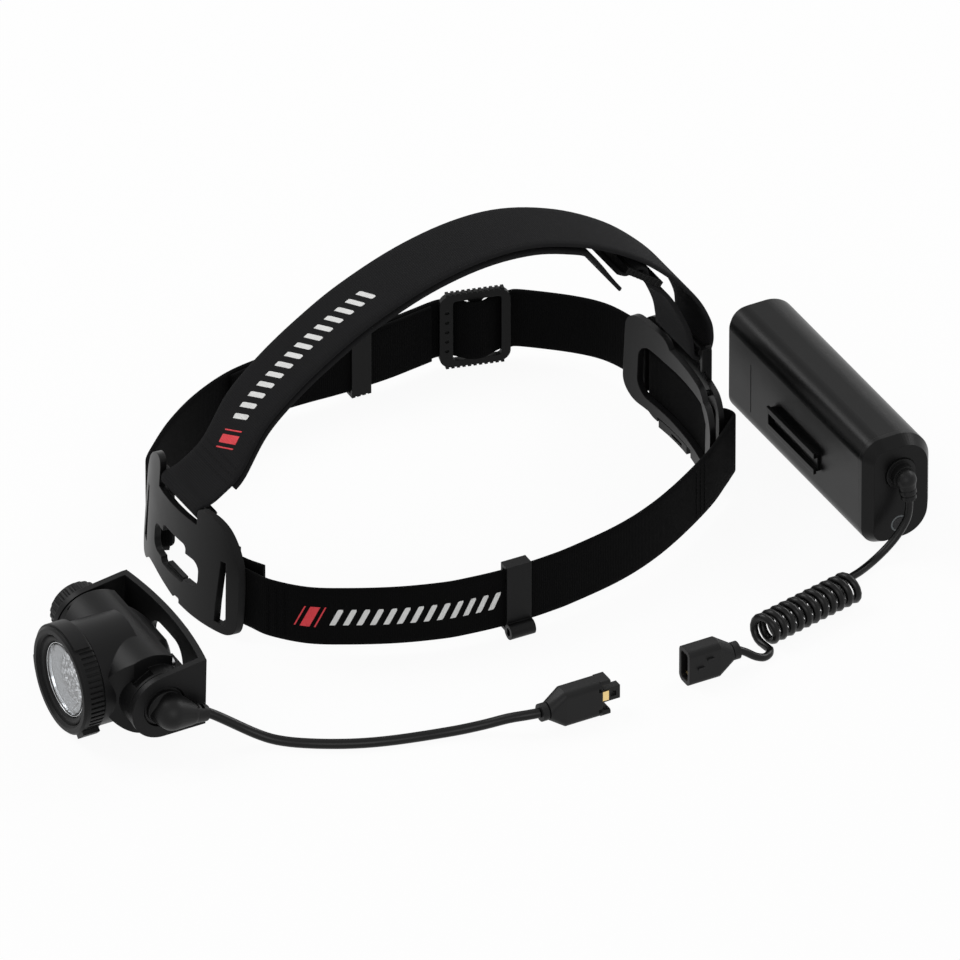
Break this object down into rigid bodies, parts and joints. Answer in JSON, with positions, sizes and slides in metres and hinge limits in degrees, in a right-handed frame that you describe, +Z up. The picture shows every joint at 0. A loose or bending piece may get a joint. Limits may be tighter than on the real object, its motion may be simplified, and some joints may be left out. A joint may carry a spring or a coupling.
{
  "type": "miner's cap lamp",
  "caption": "Cap lamp laid out in groups: a tilting focus-ring lamp head in a U cradle, a headband with a crossing top strap, and a rounded battery box with a curly plug-in lead.",
  "frame": {"origin": "at the surface that all three groups lie on, under the middle of the box round everything but the two free leads", "axes": "+Z up from the surface; the lamp shines along -Y; the battery box is at +Y; the leads and plugs are on the +X side"},
  "size_m": [0.232, 0.3411, 0.1183],
  "materials": {
    "cradle_plastic": "fine grain",
    "head_plastic": "fine grain",
    "ring_plastic": "fine grain",
    "knob_plastic": "fine grain",
    "plate_plastic": "satin",
    "frame_plastic": "satin",
    "slider_plastic": "satin",
    "clip_plastic": "satin",
    "case_plastic": "fine grain",
    "cap_plastic": "satin",
    "switch_plastic": "plain",
    "button_plastic": "satin",
    "boot_rubber": "soft",
    "lead_rubber": "smooth sheath",
    "plug_rubber": "moulded",
    "cover_rubber": "soft",
    "seal_rubber": "smooth",
    "head_webbing": "ribbed weave",
    "top_webbing": "ribbed weave",
    "lens_glass": "clear, faceted",
    "bright_carrier": "bright, grained",
    "bare_aluminium": "machined",
    "emitter": "clear dome over yellow",
    "emitter_board": "plain",
    "green_board": "plain",
    "screw_steel": "brushed",
    "shaft_steel": "turned",
    "washer_steel": "plain",
    "socket_steel": "drawn",
    "nickel_strip": "plain",
    "brass_contacts": "plain",
    "cell_wrap": "shrink wrap",
    "light_ring": "milky"
  },
  "bodies": {
    "headband": {"front_plate": "plate_plastic", "rear_plate": "plate_plastic", "rear_frame": "frame_plastic", "head_strap": "head_webbing", "head_strap_return": "head_webbing", "strap_slider": "slider_plastic", "strap_keeper": "slider_plastic", "top_strap_outer": "top_webbing", "top_strap_inner": "top_webbing", "top_slider": "slider_plastic"},
    "rear_latch": {"rear_latch": "frame_plastic"},
    "cable_clip": {"cable_clip": "clip_plastic"},
    "lamp_cradle": {"lamp_cradle": "cradle_plastic", "pivot_washers": "washer_steel", "lamp_boot": "boot_rubber", "lamp_cord": "lead_rubber", "lamp_plug": "plug_rubber", "lamp_plug_contacts": "brass_contacts"},
    "lamp_head": {"head_housing": "head_plastic", "head_rear_cover": "head_plastic", "head_seal": "seal_rubber", "head_screws": "screw_steel", "lens_seal": "seal_rubber", "led_emitter": "emitter", "led_board": "emitter_board", "heat_sink": "bare_aluminium", "driver_board": "green_board", "dimmer_switch": "switch_plastic", "dimmer_seal": "seal_rubber"},
    "focus_ring": {"focus_ring": "ring_plastic"},
    "lens_carrier": {"lens_carrier": "bright_carrier", "lens": "lens_glass"},
    "dimmer": {"dimmer_knob": "knob_plastic", "dimmer_shaft": "shaft_steel"},
    "battery_pack": {"battery_case": "case_plastic", "end_cap": "cap_plastic", "cap_seal": "seal_rubber", "mounting_rail": "case_plastic", "charge_socket": "socket_steel", "charge_board": "green_board", "battery_cells": "cell_wrap", "cell_carrier": "switch_plastic", "contact_strips": "nickel_strip", "status_light": "light_ring", "battery_boot": "boot_rubber", "battery_cord_upper": "lead_rubber", "battery_coil": "lead_rubber", "battery_cord_lower": "lead_rubber", "battery_plug": "plug_rubber", "battery_plug_contacts": "brass_contacts"},
    "charge_cover": {"charge_cover": "cover_rubber"},
    "status_button": {"status_button": "button_plastic"}
  },
  "joints": [
    {"name": "lamp_lift", "type": "slide", "parent": "headband", "child": "lamp_cradle", "axis": [0, 0, 1], "range_m": [0, 0.06]},
    {"name": "head_tilt", "type": "hinge", "parent": "lamp_cradle", "child": "lamp_head", "pos_m": [0.05142, -0.14355, 0.0205], "axis": [0.999, 0, -0.0436], "range_deg": [0, 45]},
    {"name": "focus_turn", "type": "hinge", "parent": "lamp_head", "child": "focus_ring", "pos_m": [0.05142, -0.16555, 0.0205], "axis": [0, -1, 0], "range_deg": [0, 120]},
    {"name": "focus_travel", "type": "slide", "parent": "lamp_head", "child": "lens_carrier", "axis": [0, 1, 0], "range_m": [0, 0.003]},
    {"name": "dimmer_turn", "type": "hinge", "parent": "lamp_head", "child": "dimmer", "pos_m": [0.01646, -0.14355, 0.02203], "axis": [-0.999, 0, 0.0436], "range_deg": [0, 270]},
    {"name": "pack_lift", "type": "slide", "parent": "headband", "child": "battery_pack", "axis": [0, 0, 1], "range_m": [0, 0.06]},
    {"name": "cover_pull", "type": "slide", "parent": "battery_pack", "child": "charge_cover", "axis": [-1, 0, 0], "range_m": [0, 0.006]},
    {"name": "button_press", "type": "slide", "parent": "battery_pack", "child": "status_button", "axis": [-1, 0, 0], "range_m": [0, 0.0006], "stiffness_N_per_m": 400},
    {"name": "clip_slide", "type": "slide", "parent": "headband", "child": "cable_clip", "axis": [0.0209, 0.9998, 0], "range_m": [-0.003, 0.003]},
    {"name": "latch_flex", "type": "hinge", "parent": "headband", "child": "rear_latch", "pos_m": [-0.00628, 0.11665, 0.0035], "axis": [1, 0, 0], "range_deg": [0, 6], "stiffness_Nm_per_rad": 0.02}
  ],
  "couplings": [
    {"joint": "focus_turn", "follows": "focus_travel", "rad_per_m": 698.13}
  ]
}
